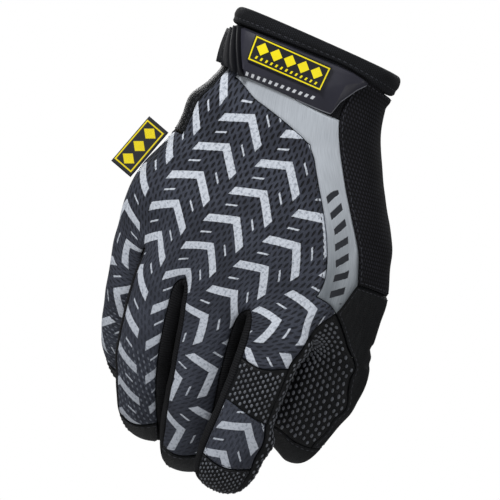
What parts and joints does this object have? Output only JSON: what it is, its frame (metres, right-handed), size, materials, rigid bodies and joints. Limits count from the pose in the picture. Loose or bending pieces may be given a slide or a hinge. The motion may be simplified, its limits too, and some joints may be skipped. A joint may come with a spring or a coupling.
{
  "type": "mechanic glove",
  "caption": "Right-hand work glove in worn form: knitted mesh back, leather palm, stretch gussets, dotted grip patches and a moulded wrist closure.",
  "frame": {"origin": "middle of the cuff's mouth, in the plane of the hem's upper edge", "axes": "+Z out of the cuff along the forearm, -Y out of the back of the hand, +X towards the thumb; the fingers hang down along -Z"},
  "size_m": [0.1466, 0.0945, 0.2046],
  "materials": {
    "mesh_cloth": "heavy knitted mesh, dark grey, with a light grey print",
    "inlay": "smooth coated cloth, silver grey",
    "stretch_mesh": "open knitted stretch mesh, black",
    "cuff_knit": "padded knit, black",
    "palm_leather": "synthetic leather, black",
    "gusset_knit": "ribbed stretch knit, black",
    "grip_leather": "synthetic leather with rows of small raised dots, black",
    "closure_rubber": "moulded thermoplastic rubber, dark grey, faceted",
    "badge_print": "moulded rubber badge, yellow on dark grey",
    "strap_rubber": "ribbed moulded rubber, black",
    "label_weave": "woven label, dark grey with a yellow pattern"
  },
  "bodies": {
    "root": {"back_panel": "mesh_cloth", "index_back_panel": "mesh_cloth", "silver_inlay": "inlay", "side_panel": "stretch_mesh", "cuff_band": "stretch_mesh", "palm_panel": "palm_leather", "fourchette_pinky_ring": "gusset_knit", "fourchette_ring_middle": "gusset_knit", "fourchette_middle_index": "gusset_knit", "pinky_tip_patch": "palm_leather", "ring_tip_patch": "palm_leather", "middle_tip_patch": "palm_leather", "index_knuckle_grip": "grip_leather", "index_side_grip": "grip_leather", "index_tip_grip": "grip_leather", "thumb_grip_panel": "grip_leather", "thumb_back_panel": "palm_leather", "thumb_tip_patch": "palm_leather", "cuff_hem": "cuff_knit", "closure_tab": "closure_rubber", "closure_badge": "badge_print", "closure_strap": "strap_rubber", "side_label": "label_weave"}
  },
  "joints": []
}
